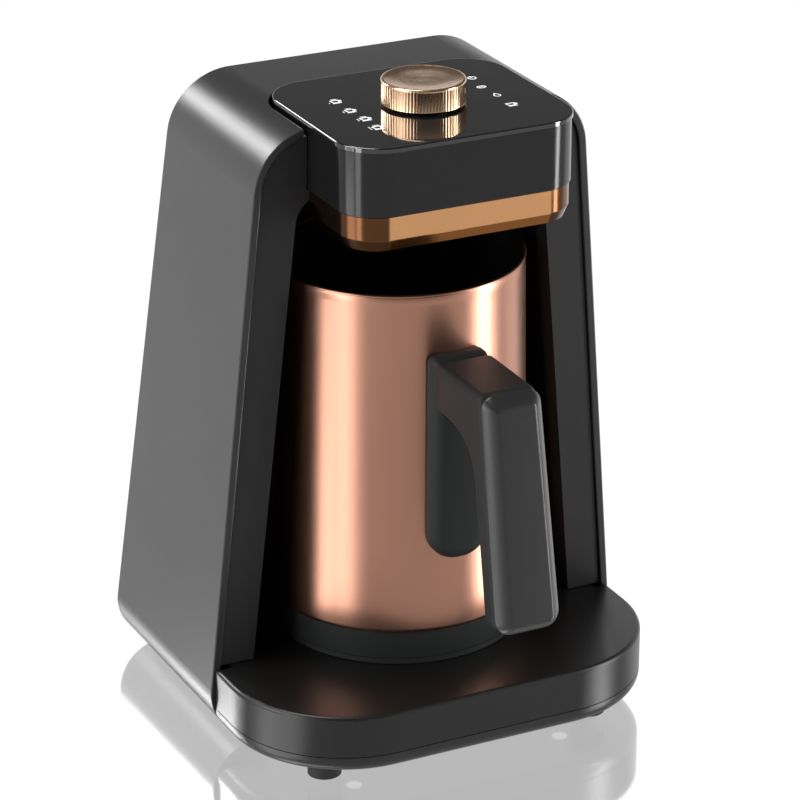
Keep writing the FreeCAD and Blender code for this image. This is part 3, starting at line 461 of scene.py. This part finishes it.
def poured_jug():
    """The drawn cup: a rolled rim, a lip at each side and a dark lining."""
    low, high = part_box("jug_body")
    collar_low, collar_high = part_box("jug_collar")
    centre = Vector((0.0, (collar_low.y + collar_high.y) / 2, 0.0))
    bottom, rim = low.z, high.z
    foot_radius, rim_radius = 48.7 * MM, 46.9 * MM
    wall = 1.2 * MM
    foot_round = 2.2 * MM
    lip_starts = 150.0 * MM
    lip_out = 3.4 * MM
    lip_half = math.radians(11.0)
    lip_curve = 1.6
    bead = 0.55 * MM
    bead_swell = bead + wall * 0.3
    bead_starts, bead_step, bead_points = -60.0, 30.0, 9
    under_bead, inside_bead = 1.3 * MM, 1.8 * MM
    steps, rows, lip_rows, round_steps = 256, 12, 8, 5

    def wall_loop(height, inset):
        along = (height - bottom) / (rim - bottom)
        plain = foot_radius + (rim_radius - foot_radius) * along
        rise = max(0.0, (height - lip_starts) / (rim - lip_starts)) ** lip_curve

        def reach(angle):
            turn = math.remainder(angle, math.pi)
            return plain + math.exp(-(turn / lip_half) ** 2) * lip_out * rise - inset, height
        return reach

    def quarter():
        return [math.radians(90.0 * i / round_steps) for i in range(1, round_steps + 1)]

    def foot_turn(turn):
        return foot_round * (1 - math.cos(turn)), foot_round * (1 - math.sin(turn))

    plain_low = bottom + foot_round
    outside = [wall_loop(bottom, foot_round)]
    for turn in quarter():
        rise, inset = foot_turn(turn)
        outside.append(wall_loop(bottom + rise, inset))
    for i in range(1, rows + 1):
        outside.append(wall_loop(plain_low + (lip_starts - plain_low) * i / rows, 0.0))
    for i in range(1, lip_rows + 1):
        outside.append(wall_loop(lip_starts + (rim - under_bead - lip_starts) * i / lip_rows, 0.0))
    for i in range(bead_points):
        turn = math.radians(bead_starts + bead_step * i)
        outside.append(wall_loop(rim - bead + bead * math.sin(turn), wall / 2 - bead_swell * math.cos(turn)))
    inside = []
    inner_top = rim - inside_bead
    for i in range(lip_rows + 1):
        inside.append(wall_loop(inner_top - (inner_top - lip_starts) * i / lip_rows, wall))
    for i in range(1, rows + 1):
        inside.append(wall_loop(lip_starts - (lip_starts - plain_low - wall) * i / rows, wall))
    for turn in quarter():
        inset, rise = foot_turn(turn)
        inside.append(wall_loop(bottom + wall + rise, wall + inset))
    bm = bmesh.new()
    outer_loops = [ring_of(bm, centre, steps, reach) for reach in outside]
    inner_loops = [ring_of(bm, centre, steps, reach) for reach in inside]
    cap(bm, outer_loops[0])
    for lower, upper in zip(outer_loops, outer_loops[1:]):
        skin_between(bm, lower, upper)
    skin_between(bm, outer_loops[-1], inner_loops[0], 1)
    for upper, lower in zip(inner_loops, inner_loops[1:]):
        skin_between(bm, upper, lower, 1)
    cap(bm, inner_loops[-1], 1)
    made = piece("jug_cup", bm, [jug_finish, lining_finish], "jug", 50.0)
    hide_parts("jug_body")


poured_jug()

CORNER_STEPS = 8
SHARPEST_CORNER = 0.05 * MM


def rounded_outline(low_half, high_half, low, high, low_round, high_round, inset):
    """Corners of an upright shape with round ends, as (x, z) pairs, drawn smaller by inset."""
    points = []
    corners = [(1, low, low_round, low_half, -90), (1, high, high_round, high_half, 0),
               (-1, high, high_round, high_half, 90), (-1, low, low_round, low_half, 180)]
    for side, level, bend, half, start in corners:
        centre_x = side * (half - bend)
        centre_z = level + bend if level == low else level - bend
        short = max(bend - inset, SHARPEST_CORNER)
        shift_x = side * min(bend - inset, 0.0)
        shift_z = min(bend - inset, 0.0) * (1 if level == high else -1)
        for i in range(CORNER_STEPS + 1):
            turn = math.radians(start + 90.0 * i / CORNER_STEPS)
            points.append((centre_x + shift_x + short * math.cos(turn),
                           centre_z + shift_z + short * math.sin(turn)))
    return points


def padded_piece(name, rings, outline_of, depth_at, paint, body):
    """A shape whose outline steps inward towards the front; rings hold (inset, depth) pairs."""
    bm = bmesh.new()
    loops = []
    for inset, depth in rings:
        loops.append([bm.verts.new((x, depth_at(z) + depth, z)) for x, z in outline_of(inset)])
    for low, high in zip(loops, loops[1:]):
        skin_between(bm, low, high)
    cap(bm, loops[0])
    cap(bm, loops[-1])
    return piece(name, bm, [paint], body, 28.0)


cover_low, cover_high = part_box("handle_cover")
mount_low, mount_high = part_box("handle_bracket")
GRIP_HIGH, GRIP_LOW = cover_high.z, cover_low.z
GRIP_FORWARD = 3.4 * MM
GRIP_LEAN = 16.0 * MM
GRIP_FRONT_LOW = cover_low.y - GRIP_FORWARD
GRIP_FRONT_HIGH = GRIP_FRONT_LOW + GRIP_LEAN
COVER_DEEP = 6.0 * MM


def grip_front_at(z):
    """How far forward the leaning grip stands at a height."""
    share = (GRIP_HIGH - z) / (GRIP_HIGH - GRIP_LOW)
    return GRIP_FRONT_HIGH + (GRIP_FRONT_LOW - GRIP_FRONT_HIGH) * share


def grip_cover():
    """The leaning front cover, with a wide chamfer round its face."""
    low_half, high_half = 12.6 * MM, 11.6 * MM
    low_round, high_round = 6.0 * MM, 5.0 * MM
    top = GRIP_HIGH - 2.0 * MM

    def outline_of(inset):
        return rounded_outline(low_half, high_half, GRIP_LOW, top, low_round, high_round, inset)

    rings = [(0.6 * MM, COVER_DEEP), (0.0, COVER_DEEP - 0.5 * MM), (0.0, 4.6 * MM), (0.3 * MM, 4.0 * MM),
             (3.5 * MM, 0.5 * MM), (4.2 * MM, 0.1 * MM), (5.0 * MM, 0.0)]
    made = padded_piece("grip_cover", rings, outline_of, grip_front_at, cover_finish, "jug")
    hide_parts("handle_cover")


grip_cover()


def handle_mount():
    """The plate that holds the handle to the cup, round at its lower end."""
    low_half, high_half = 11.7 * MM, 11.2 * MM
    low_round, high_round = 10.5 * MM, 3.0 * MM
    foot = mount_low.z + 1.5 * MM
    front = mount_low.y

    def outline_of(inset):
        return rounded_outline(low_half, high_half, foot, mount_high.z, low_round, high_round, inset)

    rings = [(0.0, 7.6 * MM), (0.0, 4.6 * MM), (0.5 * MM, 3.0 * MM), (1.6 * MM, 1.5 * MM),
             (3.4 * MM, 0.4 * MM), (5.6 * MM, 0.0), (8.0 * MM, -0.2 * MM)]
    made = padded_piece("handle_mount", rings, outline_of, lambda z: front, handle_finish, "jug")
    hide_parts("handle_bracket")


handle_mount()


def handle_arm():
    """The bridge and the grip behind its cover, seen from the side and pulled out sideways."""
    low, high = GRIP_LOW + 1.0 * MM, GRIP_HIGH - 2.2 * MM
    deep = 10.0 * MM
    heel_in, heel_up = 2.0 * MM, 3.0 * MM
    bridge_thick = 19.0 * MM
    bend_drop, bend_reach, bend_steps = 17.0 * MM, 7.0 * MM, 12
    into_mount, below_mount_top = 1.5 * MM, 0.4 * MM
    half_high, widens_by = 11.2 * MM, 0.9 * MM
    under = mount_high.z - bridge_thick
    back = mount_low.y + into_mount

    def behind(z, depth):
        return grip_front_at(z) + COVER_DEEP + depth

    def half_at(z):
        return half_high + widens_by * (GRIP_HIGH - z) / (GRIP_HIGH - GRIP_LOW)

    bend_start = Vector((behind(under - bend_drop, deep), under - bend_drop))
    bend_end = Vector((back - bend_reach, under))
    bend_mid = Vector((behind(under, deep), under))
    side = [(behind(low, 0.0), low), (behind(low, deep - heel_in), low), (behind(low, deep), low + heel_up)]
    for i in range(bend_steps + 1):
        t = i / bend_steps
        side.append(tuple(bend_start * (1 - t) ** 2 + bend_mid * 2 * t * (1 - t) + bend_end * t * t))
    side += [(back, under), (back, mount_high.z - below_mount_top), (behind(high, 0.0), high)]
    bm = bmesh.new()
    walls = []
    for sign in (-1, 1):
        walls.append([bm.verts.new((sign * half_at(z), y, z)) for y, z in side])
    skin_between(bm, walls[0], walls[1])
    cap(bm, walls[0])
    cap(bm, walls[1])
    made = piece("handle_arm", bm, [handle_finish], "jug", 28.0)
    add_bevel(made, 2.6 * MM, 5, 50)
    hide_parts("handle_body")


handle_arm()


def copper_strip():
    """The strip under the head: an upright facet above a longer slanted one."""
    low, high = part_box("trim_strip")
    half, front, back = high.x, low.y, high.y
    bend, bend_steps = 14.4 * MM, 24
    wall = 4.2 * MM
    upright = 8.6 * MM
    bottom = low.z - 1.2 * MM
    levels = [(0.3 * MM, high.z), (0.0, high.z - 0.3 * MM), (0.0, high.z - upright),
              (0.15 * MM, high.z - upright - 0.4 * MM), (1.7 * MM, bottom + 0.3 * MM), (2.1 * MM, bottom),
              (wall, bottom), (wall, high.z)]
    first_slanted = 3

    def course(inset, z):
        spots = [(-(half - inset), back, z)]
        for sign, start in ((-1, 180), (1, 270)):
            for i in range(bend_steps + 1):
                turn = math.radians(start + 90.0 * i / bend_steps)
                spots.append((sign * (half - bend) + (bend - inset) * math.cos(turn),
                              front + bend + (bend - inset) * math.sin(turn), z))
        return spots + [(half - inset, back, z)]

    bm = bmesh.new()
    rows = [[bm.verts.new(spot) for spot in course(inset, z)] for inset, z in levels]
    rows.append(rows[0])
    for level, (lower, upper) in enumerate(zip(rows, rows[1:])):
        for i in range(len(lower) - 1):
            face = bm.faces.new((lower[i], lower[i + 1], upper[i + 1], upper[i]))
            # The slanted facets get the copper copy with painted shade
            face.material_index = 1 if level >= first_slanted else 0
    for end in (0, -1):
        bm.faces.new([row[end] for row in rows[:-1]])
    made = piece("copper_strip", bm, [trim_finish, trim_shaded_finish], "root", 20.0)
    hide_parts("trim_strip")


copper_strip()


# Printed signs on the panel: cups in growing numbers at the left, plain signs at the right

PANEL_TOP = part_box("touch_panel")[1].z
INK_LOW, INK_HIGH = 0.005 * MM, 0.04 * MM
SIGN_SIZE = 4.2 * MM
CUP_SPOTS = ((-27.0, 7.3), (-26.7, -4.1), (-25.8, -14.4), (-26.0, -24.7))
RIGHT_SPOTS = ((28.3, 10.0), (26.6, -0.7), (27.3, -11.3), (27.3, -22.5))


def ink(bm, points):
    """A thin printed patch."""
    top = [bm.verts.new((x, y, PANEL_TOP + INK_HIGH)) for x, y in points]
    bottom = [bm.verts.new((x, y, PANEL_TOP + INK_LOW)) for x, y in points]
    bm.faces.new(top)
    bm.faces.new(list(reversed(bottom)))
    skin_between(bm, bottom, top)


def stroke(bm, path, width):
    """A printed line along a path, whose stretches overlap a little at each turn."""
    overlap = 0.3
    for start, end in zip(path, path[1:]):
        a, b = Vector(start), Vector(end)
        along = (b - a).normalized()
        side = Vector((-along.y, along.x)) * width / 2
        over = along * width * overlap
        first, last = a - over, b + over
        ink(bm, [tuple(first + side), tuple(first - side), tuple(last - side), tuple(last + side)])


def arc(x, y, radius, start, end, count=10, squash=1.0):
    turns = [math.radians(start + (end - start) * i / count) for i in range(count + 1)]
    return [(x + radius * math.cos(turn), y + radius * squash * math.sin(turn)) for turn in turns]


def cup_sign(bm, x, y, size):
    line = size * 0.13
    left, right = x - size * 0.45, x + size * 0.30
    top, low = y + size * 0.25, y - size * 0.30
    foot = size * 0.12
    saucer = low - size * 0.16
    stroke(bm, [(left, top), (left + foot, low), (right - foot, low), (right, top), (left, top)], line)
    stroke(bm, arc(right, y + size * 0.02, size * 0.16, 80, -80), line)
    stroke(bm, [(left, saucer), (right, saucer)], line)


def steam_sign(bm, x, y, size):
    line = size * 0.08
    starts, rises, sways = 0.36, 0.05, 0.05
    for shift in (-0.18, 0.0, 0.18):
        stroke(bm, [(x + size * (shift + sways * math.sin(i * 1.1)), y + size * (starts + rises * i))
                    for i in range(6)], line)


def bean_sign(bm, x, y, size):
    stroke(bm, arc(x, y, size * 0.38, 0, 360, 20, 0.7), size * 0.12)
    crease = [(x - size * 0.3, y - size * 0.1), (x, y + size * 0.04), (x + size * 0.3, y + size * 0.1)]
    stroke(bm, crease, size * 0.1)


def drop_sign(bm, x, y, size):
    tip = (x, y + size * 0.5)
    stroke(bm, [tip] + arc(x, y - size * 0.05, size * 0.28, 40, -220, 14) + [tip], size * 0.12)


def power_sign(bm, x, y, size):
    line = size * 0.12
    stroke(bm, arc(x, y, size * 0.34, 120, 420, 18), line)
    stroke(bm, [(x, y + size * 0.05), (x, y + size * 0.45)], line)


def panel_signs():
    dot_aside, dot_low, dot_step, dot_radius = 3.0, 1.1, 0.85, 0.28 * MM
    bm = bmesh.new()
    for i, (x, y) in enumerate(CUP_SPOTS):
        cup_sign(bm, x * MM, y * MM, SIGN_SIZE)
        steam_sign(bm, x * MM, y * MM, SIGN_SIZE)
        for dot in range(i + 1):
            ink(bm, arc((x - dot_aside) * MM, (y - dot_low + dot * dot_step) * MM, dot_radius, 0, 330, 11))
    for (x, y), sign in zip(RIGHT_SPOTS, (power_sign, bean_sign, drop_sign, cup_sign)):
        sign(bm, x * MM, y * MM, SIGN_SIZE)
    made = piece("panel_signs", bm, [sign_finish], "root")


panel_signs()


# Studio: pale floor, white surround and soft boxes

FLOOR_FAR = 6.0
FLOOR_MIRROR = 0.74
FLOOR_GLOW = 1.75
FLOOR_ROUGH = 0.08
WHITE_SEEN = 1.02
CARD_DISTANCE = 0.38
CARD_HALF = 0.9
CARD_TALL = 0.31
SURROUND = 0.34
SKY_ABOVE = 0.10
FADE_STARTS, FADE_ENDS = 0.15, 0.34
CAMERA_AZIMUTH = math.radians(-26.245)
CAMERA_HEIGHT = math.radians(23.035)


def studio_floor():
    """A pale floor that glows a little and mirrors the machine."""
    corners = [(-FLOOR_FAR, -FLOOR_FAR, 0), (FLOOR_FAR, -FLOOR_FAR, 0), (FLOOR_FAR, FLOOR_FAR, 0),
               (-FLOOR_FAR, FLOOR_FAR, 0)]
    mesh = bpy.data.meshes.new("floor")
    mesh.from_pydata(corners, [], [(0, 1, 2, 3)])
    floor = bpy.data.objects.new("floor", mesh)
    bpy.context.collection.objects.link(floor)
    material = bpy.data.materials.new("pale_floor")
    material.use_nodes = True
    tree = material.node_tree
    tree.nodes.clear()
    out = tree.nodes.new("ShaderNodeOutputMaterial")
    blend = tree.nodes.new("ShaderNodeMixShader")
    glow = tree.nodes.new("ShaderNodeEmission")
    gloss = tree.nodes.new("ShaderNodeBsdfGlossy")
    glow.inputs["Strength"].default_value = FLOOR_GLOW
    gloss.inputs["Roughness"].default_value = FLOOR_ROUGH
    blend.inputs["Fac"].default_value = FLOOR_MIRROR
    tree.links.new(glow.outputs[0], blend.inputs[1])
    tree.links.new(gloss.outputs[0], blend.inputs[2])
    tree.links.new(blend.outputs[0], out.inputs[0])
    mesh.materials.append(material)


studio_floor()


def backdrop():
    """A low white card behind the machine, which the floor mirrors and the panel looks over."""
    ahead = Vector((-math.sin(CAMERA_AZIMUTH), math.cos(CAMERA_AZIMUTH), 0.0))
    aside = Vector((math.cos(CAMERA_AZIMUTH), math.sin(CAMERA_AZIMUTH), 0.0))
    foot = ahead * CARD_DISTANCE
    corners = [foot - aside * CARD_HALF, foot + aside * CARD_HALF]
    corners += [corner + Vector((0, 0, CARD_TALL)) for corner in reversed(corners)]
    mesh = bpy.data.meshes.new("backdrop")
    mesh.from_pydata([tuple(corner) for corner in corners], [], [(0, 1, 2, 3)])
    card = bpy.data.objects.new("backdrop", mesh)
    bpy.context.collection.objects.link(card)
    material = bpy.data.materials.new("card_white")
    material.use_nodes = True
    tree = material.node_tree
    tree.nodes.clear()
    out = tree.nodes.new("ShaderNodeOutputMaterial")
    glow = tree.nodes.new("ShaderNodeEmission")
    glow.inputs["Strength"].default_value = WHITE_SEEN
    tree.links.new(glow.outputs[0], out.inputs[0])
    mesh.materials.append(material)


backdrop()


def surround():
    """White behind the machine for the camera; for its surfaces dim, and darker higher up."""
    world = bpy.data.worlds.new("surround")
    bpy.context.scene.world = world
    world.use_nodes = True
    tree = world.node_tree
    tree.nodes.clear()
    out = tree.nodes.new("ShaderNodeOutputWorld")
    seen = tree.nodes.new("ShaderNodeLightPath")
    blend = tree.nodes.new("ShaderNodeMixShader")
    dim = tree.nodes.new("ShaderNodeBackground")
    white = tree.nodes.new("ShaderNodeBackground")
    for sky, slot in ((dim, 1), (white, 2)):
        sky.inputs["Color"].default_value = (1, 1, 1, 1)
        tree.links.new(sky.outputs[0], blend.inputs[slot])
    white.inputs["Strength"].default_value = WHITE_SEEN
    direction = tree.nodes.new("ShaderNodeTexCoord")
    height = tree.nodes.new("ShaderNodeSeparateXYZ")
    fade = tree.nodes.new("ShaderNodeMapRange")
    fade.inputs["From Min"].default_value = FADE_STARTS
    fade.inputs["From Max"].default_value = FADE_ENDS
    fade.inputs["To Min"].default_value = SURROUND
    fade.inputs["To Max"].default_value = SKY_ABOVE
    tree.links.new(direction.outputs["Generated"], height.inputs[0])
    tree.links.new(height.outputs["Z"], fade.inputs["Value"])
    tree.links.new(fade.outputs[0], dim.inputs["Strength"])
    tree.links.new(seen.outputs["Is Camera Ray"], blend.inputs[0])
    tree.links.new(blend.outputs[0], out.inputs[0])


surround()


def soft_box(name, spot, width, height, watts):
    """A rectangular lamp that faces the middle of the machine."""
    data = bpy.data.lights.new(name, "AREA")
    data.shape = "RECTANGLE"
    data.size = width
    data.size_y = height
    data.energy = watts
    lamp = bpy.data.objects.new(name, data)
    bpy.context.collection.objects.link(lamp)
    lamp.location = spot
    lamp.rotation_mode = "QUATERNION"
    lamp.rotation_quaternion = (MIDDLE - Vector(spot)).to_track_quat("-Z", "Y")


MIDDLE = Vector((0.0, 0.0, 0.12))
soft_box("left_box", (-1.35, 0.15, 0.75), 0.7, 1.0, 11)
soft_box("front_box", (-1.3, -0.42, 0.45), 0.35, 0.9, 5)
soft_box("right_box", (1.2, -0.8, 0.5), 0.30, 1.0, 15)
soft_box("top_box", (-0.3, 0.3, 1.5), 0.7, 0.7, 11)
soft_box("rear_left_box", (-0.62, 1.3, 0.85), 0.45, 0.4, 10)


# Camera, solved from the photograph's own edges

CAMERA_AIM = Vector((0.05198, 0.11642, 0.06836))
CAMERA_DISTANCE = 1.46242
CAMERA_LENS = 162.63
SENSOR_WIDTH = 36.0


def photo_camera():
    back = Vector((math.sin(CAMERA_AZIMUTH) * math.cos(CAMERA_HEIGHT),
                   -math.cos(CAMERA_AZIMUTH) * math.cos(CAMERA_HEIGHT), math.sin(CAMERA_HEIGHT)))
    data = bpy.data.cameras.new("photo_camera")
    data.sensor_width = SENSOR_WIDTH
    data.lens = CAMERA_LENS
    camera = bpy.data.objects.new("photo_camera", data)
    bpy.context.collection.objects.link(camera)
    right = Vector((0, 0, 1)).cross(back).normalized()
    up = back.cross(right)
    turn = Matrix((right, up, back)).transposed().to_4x4()
    camera.matrix_world = Matrix.Translation(CAMERA_AIM + back * CAMERA_DISTANCE) @ turn
    bpy.context.scene.camera = camera


photo_camera()
bpy.context.scene.view_settings.view_transform = "Standard"
